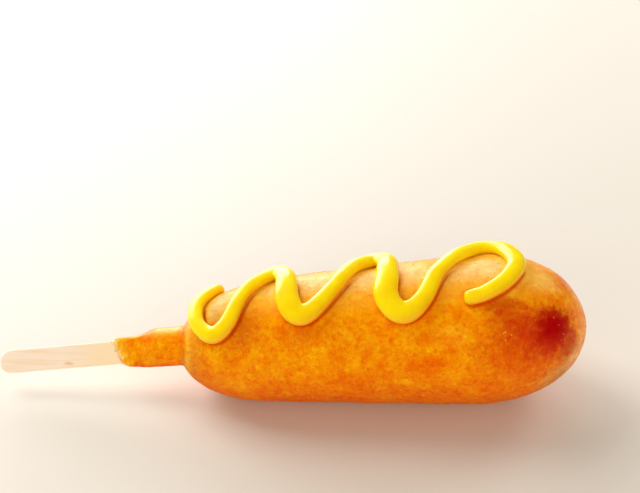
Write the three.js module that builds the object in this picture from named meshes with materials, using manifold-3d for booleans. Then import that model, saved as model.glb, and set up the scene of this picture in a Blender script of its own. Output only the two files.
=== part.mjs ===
// A corn dog: a sausage dipped in cornmeal batter and deep fried on a flat wooden stick, with a
// zigzag of mustard squeezed along its top. It lies on its side on a table.
//
// Millimetres, +Z up, the table at z = 0. X runs along the corn dog, from the free end of the
// stick (-X) to the round tip of the batter (+X), and -Y is the front. The origin is on the
// table, under the middle of the whole length. An angle round the corn dog is in degrees from
// straight up, positive towards the front.

import * as THREE from "three";
import { mergeVertices } from "three/addons/utils/BufferGeometryUtils.js";
import Module from "manifold-3d";

const wasm = await Module();
wasm.setup();

// ---------------------------------------------------------------- driving dimensions
const OVERALL_LENGTH = 176;
const BODY_LENGTH = 121.4; // the fat part of the batter, from its stick end to its tip
const BODY_RADIUS = 22.4; // at its thickest, near the tip
const BODY_RADIUS_AT_STICK = 16.75; // where the taper would reach the stick end
const SHOULDER_LENGTH = 34; // the blunt rounding at the stick end
const SHOULDER_BLUNTNESS = { length: 2.8, radius: 2.2 }; // 2 and 2 would be an ellipse
const TIP_LENGTH = 31; // the half ellipse at the tip
const TIP_DROOP = { height: 1.5, length: 28 }; // the tip hangs below the line of the taper
const STICK_END_DROOP = { height: 0.9, length: 20 }; // and so does the stick end, from x = 0
const RESTING_DEPTH = 0.4; // how far the soft underside is pressed flat
const SWELLING = 0.28; // the height of the slow lumps of the fried batter

const COLLAR_LENGTH = 21.5; // the batter that ran up the stick
const COLLAR_DEPTH = 1.5; // how far its root reaches into the body's rounded end
const COLLAR_LAYER = { lip: 0.9, above: 3.0, below: 2.0 }; // over the stick's edges at the root
const COLLAR_SWELL = 1.3; // the extra batter that rounds out the stick's flat faces
const COLLAR_GROWTH = { start: 0.3, end: 0.62 }; // where it thickens above, as shares of its length

const STICK_WIDTH = 7;
const STICK_THICKNESS = 2.4;
const STICK_IN_BODY = 70; // how far the stick runs inside the body
const STICK_EDGE = 0.35; // the rounding of its long edges
const STICK_PITCH = 6.2; // degrees that it climbs towards the body
const STICK_HEIGHT = 14.85; // of its axis, where it enters the body
const STICK_FACE_TILT = 40; // degrees that its broad front face leans back from upright

const CLEARANCE = 0.3; // between pieces that touch

const TIP_X = OVERALL_LENGTH / 2;
const ROOT_X = TIP_X - BODY_LENGTH; // where the body's rounded end would close
const CREASE_X = ROOT_X + COLLAR_DEPTH; // where the body comes out of the collar
const LIP_X = CREASE_X - COLLAR_LENGTH; // the collar's free end
const STICK_FREE_X = -OVERALL_LENGTH / 2;

// ---------------------------------------------------------------- small helpers
const { clamp, degToRad: radians, lerp, radToDeg: degrees, smoothstep } = THREE.MathUtils;

// The direction away from the axis at an angle round the corn dog.
function outward(angle) {
  return new THREE.Vector3(0, -Math.sin(radians(angle)), Math.cos(radians(angle)));
}

// A closed skin over a row of rings that all have the same number of points, with a fan at
// each end. The rings turn anticlockwise seen from the first one's side.
function skin(rings) {
  const around = rings[0].length;
  const positions = rings.flat().flatMap((point) => [point.x, point.y, point.z]);
  const index = [];
  for (let i = 0; i < rings.length - 1; i += 1) {
    for (let j = 0; j < around; j += 1) {
      const a = i * around + j;
      const b = i * around + ((j + 1) % around);
      index.push(a, a + around, b, b, a + around, b + around);
    }
  }
  for (const last of [false, true]) {
    const ring = last ? rings.at(-1) : rings[0];
    const first = last ? (rings.length - 1) * around : 0;
    const centre = ring.reduce((sum, point) => sum.add(point), new THREE.Vector3());
    centre.divideScalar(around);
    const hub = positions.length / 3;
    positions.push(centre.x, centre.y, centre.z);
    for (let j = 0; j < around; j += 1) {
      const a = first + j;
      const b = first + ((j + 1) % around);
      index.push(...(last ? [hub, b, a] : [hub, a, b]));
    }
  }
  const geometry = new THREE.BufferGeometry();
  geometry.setAttribute("position", new THREE.Float32BufferAttribute(positions, 3));
  geometry.setIndex(index);
  return geometry;
}

function toSolid(geometry) {
  const bare = geometry.clone();
  bare.deleteAttribute("normal");
  bare.deleteAttribute("uv");
  const merged = mergeVertices(bare, 1e-4);
  return new wasm.Manifold(
    new wasm.Mesh({
      numProp: 3,
      vertProperties: merged.attributes.position.array,
      triVerts: new Uint32Array(merged.index.array),
    }),
  );
}

function toGeometry(solid) {
  const mesh = solid.getMesh();
  const geometry = new THREE.BufferGeometry();
  geometry.setAttribute("position", new THREE.BufferAttribute(mesh.vertProperties, 3));
  geometry.setIndex(new THREE.BufferAttribute(mesh.triVerts, 1));
  geometry.computeVertexNormals();
  return geometry;
}

// ---------------------------------------------------------------- the stick
// A flat craft stick with round ends and softened edges. It runs straight through the collar
// and deep into the body, which it carries.
const stickSlope = Math.tan(radians(STICK_PITCH));

function stickHeightAt(x) {
  return STICK_HEIGHT + (x - ROOT_X) * stickSlope;
}

// Puts a geometry drawn along +X from the stick's free end, with its broad face up, in place.
const stickPlacement = new THREE.Matrix4()
  .makeTranslation(STICK_FREE_X, 0, stickHeightAt(STICK_FREE_X))
  .multiply(new THREE.Matrix4().makeRotationY(-radians(STICK_PITCH)))
  .multiply(new THREE.Matrix4().makeRotationX(radians(90 - STICK_FACE_TILT)));

function stickGeometry(margin) {
  const length = (ROOT_X - STICK_FREE_X + STICK_IN_BODY) / Math.cos(radians(STICK_PITCH));
  const edge = STICK_EDGE;
  const halfWidth = STICK_WIDTH / 2 + margin - edge;
  const outline = new THREE.Shape();
  outline.absarc(STICK_WIDTH / 2, 0, halfWidth, Math.PI / 2, (3 * Math.PI) / 2, false);
  outline.absarc(length - STICK_WIDTH / 2, 0, halfWidth, -Math.PI / 2, Math.PI / 2, false);
  const depth = STICK_THICKNESS + 2 * margin - 2 * edge;
  const geometry = new THREE.ExtrudeGeometry(outline, {
    depth,
    curveSegments: 10,
    bevelThickness: edge,
    bevelSize: edge,
    bevelSegments: 2,
  });
  geometry.translate(0, 0, -depth / 2);
  return geometry;
}

function makeStick() {
  const stick = new THREE.Mesh(
    stickGeometry(0),
    new THREE.MeshStandardMaterial({ color: "#f3dcb8", roughness: 0.75, metalness: 0 }),
  );
  stick.name = "stick";
  stick.applyMatrix4(stickPlacement);
  return stick;
}

// ---------------------------------------------------------------- the shape of the batter
// The taper from the stick end to the tip, without the rounded ends.
function taper(x) {
  const fullX = TIP_X - TIP_LENGTH;
  const along = (x - ROOT_X) / (fullX - ROOT_X);
  return lerp(BODY_RADIUS_AT_STICK, BODY_RADIUS, along);
}

function bodyRadius(x) {
  const shoulder = clamp((x - ROOT_X) / SHOULDER_LENGTH, 0, 1);
  const tip = clamp((TIP_X - x) / TIP_LENGTH, 0, 1);
  const { length, radius } = SHOULDER_BLUNTNESS;
  const blunt = (1 - (1 - shoulder) ** length) ** (1 / radius);
  const round = Math.sqrt(1 - (1 - tip) ** 2);
  return Math.min(taper(x), BODY_RADIUS) * blunt * round;
}

// The height of the body's axis. The underside lies along the table, so the axis climbs with
// the taper, and it bends down a little at both ends.
function axisHeight(x) {
  const tipBend = clamp(1 - (TIP_X - x) / TIP_DROOP.length, 0, 1) ** 2;
  const stickBend = smoothstep(-x, 0, STICK_END_DROOP.length);
  const droop = TIP_DROOP.height * tipBend + STICK_END_DROOP.height * stickBend;
  return taper(x) - RESTING_DEPTH - droop;
}

// The slow lumps of the batter, which fade out at both ends of the body.
function swelling(x, angle) {
  const FADE = 25;
  const turn = radians(angle);
  const fade = smoothstep(x, ROOT_X, ROOT_X + FADE) * (1 - smoothstep(x, TIP_X - FADE, TIP_X));
  const waves =
    0.45 * Math.sin(x / 5.9 + 1.1 + 1.3 * Math.sin(turn)) +
    0.35 * Math.cos(2 * turn - x / 17) +
    0.2 * Math.sin(3 * turn + x / 8.5);
  return SWELLING * fade * waves;
}

function bodyPoint(x, angle) {
  const point = outward(angle).multiplyScalar(bodyRadius(x) + swelling(x, angle));
  return point.add(new THREE.Vector3(x, 0, axisHeight(x)));
}

// The collar's rounded outline follows the flat stick and grows rounder towards the body. It
// thickens quickly above the stick and evenly below it.
function collarPoint(x, angle) {
  const along = (x - LIP_X) / COLLAR_LENGTH;
  const bulge = smoothstep(along, COLLAR_GROWTH.start, COLLAR_GROWTH.end);
  const above = lerp(COLLAR_LAYER.lip, COLLAR_LAYER.above, bulge);
  const below = lerp(COLLAR_LAYER.lip, COLLAR_LAYER.below, along);
  const layer = (above + below) / 2;
  const halfWidth = STICK_WIDTH / 2 + layer;
  const halfThickness = STICK_THICKNESS / 2 + layer + COLLAR_SWELL * bulge;
  const turn = radians(angle + STICK_FACE_TILT);
  const squareness = lerp(4, 2.2, bulge);
  const across = Math.abs(Math.cos(turn) / halfWidth) ** squareness;
  const through = Math.abs(Math.sin(turn) / halfThickness) ** squareness;
  const radius = (across + through) ** (-1 / squareness);
  const point = outward(angle).multiplyScalar(radius);
  return point.add(new THREE.Vector3(x, 0, stickHeightAt(x) + (above - below) / 2));
}

// ---------------------------------------------------------------- the crust
// One piece of fried batter: the collar up the stick and the body with its hidden sausage. It
// has a slot for the stick, open at the lip, and a flat where it rests.
function makeCrust() {
  const AROUND = 44;
  const LIP_EDGE = { length: 0.4, share: 0.03 }; // the softened edge of the collar's free end
  const CREASE_WIDTH = 0.2;
  const BLUNTER_END = 1.7; // above 1, it crowds the shoulder's rings towards the crease
  const angles = Array.from({ length: AROUND }, (_, j) => (-360 * j) / AROUND);
  const ring = (x, pointAt) => angles.map((angle) => pointAt(x, angle));
  const steps = (count, xAt) => Array.from({ length: count }, (_, i) => xAt(i / count));

  const lipCentre = new THREE.Vector3(LIP_X, 0, stickHeightAt(LIP_X));
  const lip = ring(LIP_X, collarPoint).map((point) => point.lerp(lipCentre, LIP_EDGE.share));
  const collarX = LIP_X + LIP_EDGE.length;
  const rootX = CREASE_X - CREASE_WIDTH;
  const sideX = ROOT_X + SHOULDER_LENGTH;
  const capX = TIP_X - TIP_LENGTH;
  const collar = [...steps(10, (s) => lerp(collarX, CREASE_X, s)), rootX];
  const shoulder = steps(13, (s) => lerp(CREASE_X, sideX, s ** BLUNTER_END));
  const side = steps(14, (s) => lerp(sideX, capX, s));
  const cap = steps(14, (s) => capX + TIP_LENGTH * Math.sin((s * Math.PI) / 2));
  const body = [...shoulder, ...side, ...cap];
  const rings = [
    lip,
    ...collar.map((x) => ring(x, collarPoint)),
    ...body.map((x) => ring(x, bodyPoint)),
  ];

  const slot = toSolid(stickGeometry(CLEARANCE).applyMatrix4(stickPlacement));
  const table = new THREE.BoxGeometry(2 * OVERALL_LENGTH, OVERALL_LENGTH, 20);
  table.translate(0, 0, -10);
  const solid = toSolid(skin(rings)).subtract(slot).subtract(toSolid(table));

  const crust = new THREE.Mesh(
    toGeometry(solid),
    new THREE.MeshStandardMaterial({ color: "#e08a1e", roughness: 0.7, metalness: 0 }),
  );
  crust.name = "batter_crust";
  return crust;
}

// ---------------------------------------------------------------- the mustard
// The turning points of the squeezed line: [x, angle round the body, half width of the bead].
const MUSTARD_ROUTE = [
  [-19.4, -49, 2.2],
  [-20.6, -42, 2.4],
  [-24.2, -31, 2.6],
  [-27.1, -5, 2.5],
  [-26.1, 27, 2.3],
  [-21.6, 42.5, 2.5],
  [-17.2, 31, 2.5],
  [-12.9, 2, 2.3],
  [-7.0, -17.5, 2.5],
  [-3.2, -25, 2.9],
  [-0.9, -8, 3.2],
  [-0.6, 14, 3.5],
  [1.0, 28.5, 3.5],
  [4.2, 33.5, 3.0],
  [8.4, 25.5, 2.7],
  [13.9, 6.5, 2.4],
  [19.0, -18, 2.6],
  [25.2, -31, 2.9],
  [28.6, -20, 3.2],
  [28.5, 3, 3.5],
  [27.9, 22, 3.7],
  [30.7, 35, 3.4],
  [34.6, 36, 3.1],
  [38.9, 25, 2.7],
  [43.3, 3, 2.5],
  [49.6, -18, 2.5],
  [56.8, -31.5, 2.7],
  [62.6, -24.5, 2.9],
  [65.4, -2, 2.8],
  [62.0, 16, 2.5],
  [55.8, 26.5, 2.3],
  [49.6, 29.3, 2.2],
];
const BEAD_RISE = 2.3; // the bead's height: this, and a share of its half width
const BEAD_RISE_SHARE = 0.5;

// The point at a height above the batter's surface, square to it, over a point near it.
function aboveCrust(near, height) {
  const STEP = 0.05;
  const angle = degrees(Math.atan2(-near.y, near.z - axisHeight(near.x)));
  const foot = bodyPoint(near.x, angle);
  const along = bodyPoint(near.x + STEP, angle).sub(foot);
  const round = bodyPoint(near.x, angle + STEP).sub(foot);
  const normal = round.cross(along).normalize();
  return { foot, normal, point: foot.clone().addScaledVector(normal, height) };
}

// How far the bead's outline has rounded out, from its blunt ends at ring 0 and at the last.
function endRounding(ring, rings) {
  const ROUND_RINGS = 1.5;
  const FIRST_RING = 0.45; // the end ring isn't a point, so that the end stays blunt
  const grown = clamp((Math.min(ring, rings - ring) + FIRST_RING) / ROUND_RINGS, 0, 1);
  return Math.sqrt(1 - (1 - grown) ** 2);
}

// A plump bead that follows the route and lies on the batter all along.
function makeMustard() {
  const RINGS = 130;
  const AROUND = 12;
  const BELLY = 0.44; // where the bead is widest, as a share of its height
  const acrossPerDegree = radians(BODY_RADIUS);
  const turns = MUSTARD_ROUTE.map(
    ([x, angle, halfWidth]) => new THREE.Vector3(x, angle * acrossPerDegree, halfWidth),
  );
  const route = new THREE.CatmullRomCurve3(turns, false, "catmullrom", 0.5);
  const centres = route.getSpacedPoints(RINGS).map((flat) => {
    const near = bodyPoint(flat.x, flat.y / acrossPerDegree);
    return { ...aboveCrust(near, 0), halfWidth: flat.z };
  });

  const rings = centres.map(({ foot, normal, halfWidth }, i) => {
    const before = centres[Math.max(i - 1, 0)].foot;
    const after = centres[Math.min(i + 1, RINGS)].foot;
    const sideways = after.clone().sub(before).cross(normal).normalize();
    const rounding = endRounding(i, RINGS);
    const size = rounding * halfWidth;
    const height = rounding * (BEAD_RISE + BEAD_RISE_SHARE * halfWidth);
    return Array.from({ length: AROUND }, (_, j) => {
      const turn = (2 * Math.PI * (j + 0.5)) / AROUND;
      const near = foot.clone().addScaledVector(sideways, size * Math.cos(turn));
      const lift = Math.max(height * lerp(BELLY, 1, Math.sin(turn)), CLEARANCE);
      return aboveCrust(near, lift).point;
    });
  });

  const mustard = new THREE.Mesh(
    skin(rings),
    new THREE.MeshStandardMaterial({ color: "#f4c80c", roughness: 0.3, metalness: 0 }),
  );
  mustard.geometry.computeVertexNormals();
  mustard.name = "mustard";
  return mustard;
}

// ---------------------------------------------------------------- the corn dog
const cornDog = new THREE.Group();
cornDog.name = "corn_dog";
cornDog.add(makeCrust(), makeMustard(), makeStick());

export default cornDog;
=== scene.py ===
# A corn dog lying on its side: a flat birch stick, a sausage in fried cornmeal batter, and a
# squeezed line of mustard. The sections follow the order in which it is put together. X runs
# from the stick's free end to the batter's round tip, -Y is the front and Z is up.
import math

import bpy
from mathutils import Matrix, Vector


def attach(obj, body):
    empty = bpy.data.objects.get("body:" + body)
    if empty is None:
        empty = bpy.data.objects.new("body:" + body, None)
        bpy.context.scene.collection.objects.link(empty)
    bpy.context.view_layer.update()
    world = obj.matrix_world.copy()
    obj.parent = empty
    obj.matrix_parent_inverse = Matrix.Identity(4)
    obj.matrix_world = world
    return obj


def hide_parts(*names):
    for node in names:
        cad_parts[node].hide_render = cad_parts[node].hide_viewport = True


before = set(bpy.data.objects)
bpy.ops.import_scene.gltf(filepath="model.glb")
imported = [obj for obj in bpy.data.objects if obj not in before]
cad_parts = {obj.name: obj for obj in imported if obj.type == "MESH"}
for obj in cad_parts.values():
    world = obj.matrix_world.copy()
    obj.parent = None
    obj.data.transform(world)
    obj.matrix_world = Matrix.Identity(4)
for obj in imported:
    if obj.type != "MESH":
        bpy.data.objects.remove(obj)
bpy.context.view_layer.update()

# ---------------------------------------------------------------- the stick
# A flat craft stick of birch, punched from veneer and tumbled smooth, with round ends. The
# sausage was pushed on it before dipping, so it runs straight through the batter's collar and
# deep into the body. It lies with its broad face leaning back and climbs a little.
MM = 0.001
STICK_X = (-88.0, 36.6)
STICK_HALF_WIDTH = 3.5
STICK_HALF_THICKNESS = 1.2
STICK_EDGE = 0.35  # the rounding of its long edges
STICK_SQUARENESS = 9.0
STICK_LEAN = math.radians(40)
STICK_SLOPE = math.tan(math.radians(6.2))
ROOT_X = -33.4  # where the rounded stick end of the body would close
STICK_Z_AT_ROOT = 14.85
STICK_SIDES, STICK_END_STEPS, STICK_MIDDLE_STEPS = 96, 22, 40


def add(tree, kind, settings=(), inputs=()):
    """Adds a node. An input is a value, a socket, or a node whose first shown output is taken,
    and goes to the socket of that name or number."""
    made = tree.nodes.new(kind)
    for key, value in dict(settings).items():
        setattr(made, key, value)
    for key, value in dict(inputs).items():
        shown = [s for s in made.inputs if s.enabled]
        socket = shown[key] if isinstance(key, int) else next(s for s in shown if s.name == key)
        if isinstance(value, bpy.types.Node):
            value = next(s for s in value.outputs if s.enabled)
        if isinstance(value, bpy.types.NodeSocket):
            tree.links.new(value, socket)
        else:
            socket.default_value = value
    return made


def linear(hex_colour):
    """A node's colour from an sRGB hex colour."""
    parts = [int(hex_colour[i : i + 2], 16) / 255 for i in (1, 3, 5)]
    return (*(p / 12.92 if p <= 0.04045 else ((p + 0.055) / 1.055) ** 2.4 for p in parts), 1)


def shape_tree(name, sizes):
    """A Geometry Nodes tree with a named input for each size. Returns it and its inputs."""
    kinds = {int: "NodeSocketInt", float: "NodeSocketFloat", type(None): "NodeSocketMaterial"}
    tree = bpy.data.node_groups.new(name, "GeometryNodeTree")
    tree.interface.new_socket("Geometry", in_out="INPUT", socket_type="NodeSocketGeometry")
    tree.interface.new_socket("Geometry", in_out="OUTPUT", socket_type="NodeSocketGeometry")
    for key, value in sizes.items():
        kind = "NodeSocketObject" if value == "object" else kinds[type(value)]
        socket = tree.interface.new_socket(key, in_out="INPUT", socket_type=kind)
        if isinstance(value, (int, float)):
            socket.default_value = value
    return tree, add(tree, "NodeGroupInput").outputs


def shaped(source, name, tree, sizes):
    """The plain mesh that a tree makes from a source object, as a new object."""
    modifier = source.modifiers.new(tree.name, "NODES")
    modifier.node_group = tree
    for item in tree.interface.items_tree:
        if item.name in sizes:
            modifier[item.identifier] = sizes[item.name]
    depsgraph = bpy.context.evaluated_depsgraph_get()
    mesh = bpy.data.meshes.new_from_object(source.evaluated_get(depsgraph))
    source.modifiers.clear()
    piece = bpy.data.objects.new(name, mesh)
    bpy.context.scene.collection.objects.link(piece)
    return piece


def line_of(name, points, **attributes):
    """A row of joined points, in mm, with a number for each in named attributes."""
    mesh = bpy.data.meshes.new(name)
    places = [[c * MM for c in point] for point in points]
    mesh.from_pydata(places, [(i, i + 1) for i in range(len(places) - 1)], [])
    for key, values in attributes.items():
        mesh.attributes.new(key, "FLOAT", "POINT").data.foreach_set("value", values)
    line = bpy.data.objects.new(name, mesh)
    bpy.context.scene.collection.objects.link(line)
    return line


OUTLINE_SIZES = ("half_width", "half_thickness", "squareness")


def line_of_stations(name, stations):
    """The line that an outline is swept along. A station is its x, height, half width and half
    thickness in mm, and its squareness: 2 is an ellipse, and more is nearer to a rectangle."""
    xs, heights, *sizes = zip(*stations)
    points = [(x, 0, height) for x, height in zip(xs, heights)]
    return line_of(name, points, **dict(zip(OUTLINE_SIZES, sizes)))


def ring_grid(tree, rings, around):
    """A grid with a row of points for each ring of a tube. Returns it, each point's ring, and
    the cosine and sine of how far round the ring the point is."""
    columns = add(tree, "FunctionNodeIntegerMath", {}, {0: around, 1: 1})
    grid = add(tree, "GeometryNodeMeshGrid", {}, {"Vertices X": rings, "Vertices Y": columns})
    index = add(tree, "GeometryNodeInputIndex")
    split = {0: index, 1: columns}
    ring = add(tree, "FunctionNodeIntegerMath", {"operation": "DIVIDE_FLOOR"}, split)
    step = add(tree, "FunctionNodeIntegerMath", {"operation": "MODULO"}, split)
    part = add(tree, "ShaderNodeMath", {"operation": "DIVIDE"}, {0: step, 1: around})
    turn = add(tree, "ShaderNodeMath", {"operation": "MULTIPLY"}, {0: part, 1: math.tau})
    cosine = add(tree, "ShaderNodeMath", {"operation": "COSINE"}, {0: turn})
    sine = add(tree, "ShaderNodeMath", {"operation": "SINE"}, {0: turn})
    return grid, ring, cosine, sine


# The tree that sweeps an outline along X, leaning back, with its own half sizes and squareness at
# each station of a line.
swept, given = shape_tree(
    "outline swept along X", {"Around": 64, "Lean": 0.0, "Material": None}
)
stations = given["Geometry"]
count = add(swept, "GeometryNodeAttributeDomainSize", {}, {"Geometry": stations})
sheet, ring, cosine, sine = ring_grid(swept, count.outputs["Point Count"], given["Around"])
at_ring = {}
for key in OUTLINE_SIZES:
    stored = add(swept, "GeometryNodeInputNamedAttribute", {}, {"Name": key})
    at_ring[key] = add(
        swept,
        "GeometryNodeSampleIndex",
        {},
        {"Geometry": stations, "Value": stored, "Index": ring},
    )
centre = add(
    swept,
    "GeometryNodeSampleIndex",
    {"data_type": "FLOAT_VECTOR"},
    {"Geometry": stations, "Value": add(swept, "GeometryNodeInputPosition"), "Index": ring},
)
powers = []
for wave in (cosine, sine):
    size = add(swept, "ShaderNodeMath", {"operation": "ABSOLUTE"}, {0: wave})
    powers.append(
        add(swept, "ShaderNodeMath", {"operation": "POWER"}, {0: size, 1: at_ring["squareness"]})
    )
total = add(swept, "ShaderNodeMath", {"operation": "ADD"}, {0: powers[0], 1: powers[1]})
root = add(swept, "ShaderNodeMath", {"operation": "DIVIDE"}, {0: -1.0, 1: at_ring["squareness"]})
reach = add(swept, "ShaderNodeMath", {"operation": "POWER"}, {0: total, 1: root})
reach = add(swept, "ShaderNodeMath", {"operation": "MULTIPLY"}, {0: reach, 1: MM})
across = add(
    swept, "ShaderNodeMath", {"operation": "MULTIPLY"}, {0: cosine, 1: at_ring["half_width"]}
)
through = add(
    swept, "ShaderNodeMath", {"operation": "MULTIPLY"}, {0: sine, 1: at_ring["half_thickness"]}
)
upright = add(swept, "ShaderNodeCombineXYZ", {}, {"Y": through, "Z": across})
upright = add(swept, "ShaderNodeVectorMath", {"operation": "SCALE"}, {0: upright, "Scale": reach})
back = add(swept, "ShaderNodeMath", {"operation": "MULTIPLY"}, {0: given["Lean"], 1: -1.0})
leaning = add(
    swept,
    "ShaderNodeVectorRotate",
    {"rotation_type": "X_AXIS"},
    {"Vector": upright, "Angle": back},
)
place = add(swept, "ShaderNodeVectorMath", {"operation": "ADD"}, {0: centre, 1: leaning})
skin = add(swept, "GeometryNodeSetPosition", {}, {"Geometry": sheet, "Position": place})
skin = add(swept, "GeometryNodeMergeByDistance", {}, {"Geometry": skin, "Distance": 1e-6})
skin = add(swept, "GeometryNodeSetShadeSmooth", {}, {"Geometry": skin})
skin = add(
    swept, "GeometryNodeSetMaterial", {}, {"Geometry": skin, "Material": given["Material"]}
)
add(swept, "NodeGroupOutput", {}, {"Geometry": skin})


def smooth(value, low, high):
    """0 below low, 1 above high, and a soft step between them."""
    share = min(max((value - low) / (high - low), 0), 1)
    return share * share * (3 - 2 * share)


def rounded(distance, radius):
    """How much of its full size an edge rounded to a radius has, this far in from its end."""
    return math.sqrt(1 - (1 - min(distance / radius, 1)) ** 2)


def stick_height(x):
    return STICK_Z_AT_ROOT + (x - ROOT_X) * STICK_SLOPE


def bare_material(name):
    """A new material, and its node tree with no nodes in it."""
    material = bpy.data.materials.new(name)
    material.use_nodes = True
    material.node_tree.nodes.clear()
    return material, material.node_tree


SOFT_STEP = {"interpolation_type": "SMOOTHSTEP"}


def tinted(tree, colour, tint, measure, start, full, most=1.0, within=None):
    """A colour with a tint laid over it: none where the measure is at start, and most at full.
    A share to keep it within goes from 0 to 1."""
    share = add(
        tree,
        "ShaderNodeMapRange",
        SOFT_STEP,
        {"Value": measure, "From Min": start, "From Max": full, "To Max": most},
    )
    if within is not None:
        share = add(tree, "ShaderNodeMath", {"operation": "MULTIPLY"}, {0: share, 1: within})
    return add(
        tree,
        "ShaderNodeMix",
        {"data_type": "RGBA"},
        {"Factor": share, "A": colour, "B": linear(tint)},
    )


def from_spot(tree, where, middle, half_sizes):
    """How far a place is from a spot's middle: 1 on the ellipsoid of its half sizes, in mm."""
    near = add(
        tree,
        "ShaderNodeMapping",
        {"vector_type": "TEXTURE"},
        {
            "Vector": where,
            "Location": [c * MM for c in middle],
            "Scale": [c * MM for c in half_sizes],
        },
    )
    return add(tree, "ShaderNodeVectorMath", {"operation": "LENGTH"}, {0: near}).outputs["Value"]


# Birch, planed and tumbled: pale cream with fine straight grain, dry and only faintly glossy.
birch, nodes = bare_material("tumbled_birch")
where = add(nodes, "ShaderNodeTexCoord").outputs["Object"]
GRAIN_LENGTH, GRAIN_WIDTH = 60.0, 1.1  # in mm, the length along X
along = add(
    nodes,
    "ShaderNodeMapping",
    {},
    {"Vector": where, "Scale": [1 / (c * MM) for c in (GRAIN_LENGTH, GRAIN_WIDTH, GRAIN_WIDTH)]},
)
figure = add(
    nodes,
    "ShaderNodeTexNoise",
    {},
    {"Vector": along, "Scale": 1.0, "Detail": 3.0, "Distortion": 0.6},
)
streaks = add(
    nodes, "ShaderNodeMapRange", {}, {"Value": figure, "From Min": 0.52, "From Max": 0.8}
)
colour = add(
    nodes,
    "ShaderNodeMix",
    {"data_type": "RGBA"},
    {"Factor": streaks, "A": linear("#f6e5d1"), "B": linear("#f0d2ae")},
)
# a pin knot near its front edge: centre and half sizes in mm
KNOT = ((-67.0, -2.3, 10.4), (1.9, 1.0, 0.6))
colour = tinted(nodes, colour, "#dfa45c", from_spot(nodes, where, *KNOT), 1.2, 0.2, 0.6)
# frying oil soaked into the wood near the batter
DRY_X, OILED_X = -70.0, -53.0
along = add(nodes, "ShaderNodeSeparateXYZ", {}, {"Vector": where}).outputs["X"]
colour = tinted(nodes, colour, "#f8dfb0", along, DRY_X * MM, OILED_X * MM, 0.75)
surface = add(
    nodes,
    "ShaderNodeBsdfPrincipled",
    {},
    {"Base Color": colour, "Roughness": 0.6, "IOR": 1.5, "Specular IOR Level": 0.35},
)
add(nodes, "ShaderNodeOutputMaterial", {}, {"Surface": surface})

stick_length = STICK_X[1] - STICK_X[0]
straight = stick_length - 2 * STICK_HALF_WIDTH
round_end = [math.pi / 2 * i / STICK_END_STEPS for i in range(STICK_END_STEPS)]
round_end = [STICK_HALF_WIDTH * (1 - math.cos(angle)) for angle in round_end]
distances = list(round_end)
for i in range(STICK_MIDDLE_STEPS + 1):
    distances.append(STICK_HALF_WIDTH + straight * i / STICK_MIDDLE_STEPS)
distances += [stick_length - distance for distance in reversed(round_end)]
stick_stations = []
for distance in distances:
    x = STICK_X[0] + distance
    from_end = min(distance, stick_length - distance)
    half_width = STICK_HALF_WIDTH * rounded(from_end, STICK_HALF_WIDTH)
    half_thickness = STICK_HALF_THICKNESS - STICK_EDGE * (1 - rounded(from_end, STICK_EDGE))
    stick_stations.append((x, stick_height(x), half_width, half_thickness, STICK_SQUARENESS))
line = line_of_stations("stick_line", stick_stations)
stick = shaped(
    line, "birch_stick", swept, {"Around": STICK_SIDES, "Lean": STICK_LEAN, "Material": birch}
)
bpy.data.objects.remove(line)
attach(stick, "root")
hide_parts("stick")

# ---------------------------------------------------------------- the batter
# Thick cornmeal batter that the sausage was dipped in, fried to a smooth golden crust. It tapers
# towards the stick, where it ends in a blunt shoulder, and a collar of it ran up the stick. The
# underside is pressed a little flat where it lies.
TIP_X = 88.0
TIP_LENGTH = 31.0
TIP_DROOP, TIP_DROOP_LENGTH = 1.5, 28.0  # the tip bends down a little
BODY_RADIUS = 22.4
RADIUS_AT_STICK = 16.75
SHOULDER_LENGTH = 34.0
SHOULDER_POWERS = (2.8, 2.2)  # a blunter outline than a quarter circle, which is 2 and 2
REAR_DROP, REAR_DROP_LENGTH = 0.9, 20.0  # the half at the stick lies a little lower
PRESSED_FLAT = 0.4  # how deep the underside is pressed flat
CREASE_X = ROOT_X + 1.5  # where the body comes out of the collar
CREASE_SOFT = 1.2  # how far from there, on each side, the crease is softened
COLLAR_LENGTH = 21.5
COLLAR_ABOVE, COLLAR_BELOW = 3.0, 2.0  # how thick it is on the stick at its root
COLLAR_GROWTH = (0.3, 0.62)  # where it thickens above, as shares of its length
COLLAR_CHEEKS = 1.3  # and how much thicker yet it is on the stick's broad faces
COLLAR_SQUARENESS = (6, 2.2)  # at its lip, and from COLLAR_ROUND_AT on
COLLAR_ROUND_AT = 0.55  # as a share of its length
FILM, COLLAR_LAYER, FILM_SHARE = 0.15, 0.9, 0.16  # its first edge is a thin film
CLOSED_BEHIND = 0.3  # and it closes inside the stick, this far in
RAGGED_FROM_LIP = (8, 1)  # how far from its lip it starts to be ragged, and is most ragged
RELIEF_FROM_LIP = (1, 10)  # how far from its lip the crust's relief starts, and is full
PIT_FLOOR, PIT_RIM = 0.12, 0.4  # how far from a pit's middle, as shares of the pits' size
PITTED = 0.2  # the share of the bubbles that left a pit
COLLAR_STEPS, SHOULDER_STEPS, BODY_STEPS, TIP_STEPS, BATTER_SIDES = 64, 90, 110, 90, 230

LIP_X = CREASE_X - COLLAR_LENGTH
SHOULDER_X = ROOT_X + SHOULDER_LENGTH
TIP_START_X = TIP_X - TIP_LENGTH


def mix(a, b, share):
    return a + (b - a) * share


def taper(x):
    return mix(RADIUS_AT_STICK, BODY_RADIUS, (x - ROOT_X) / (TIP_START_X - ROOT_X))


def body_radius(x):
    shoulder = min(max((x - ROOT_X) / SHOULDER_LENGTH, 0), 1)
    blunt = (1 - (1 - shoulder) ** SHOULDER_POWERS[0]) ** (1 / SHOULDER_POWERS[1])
    return min(taper(x), BODY_RADIUS) * blunt * rounded(TIP_X - x, TIP_LENGTH)


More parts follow.
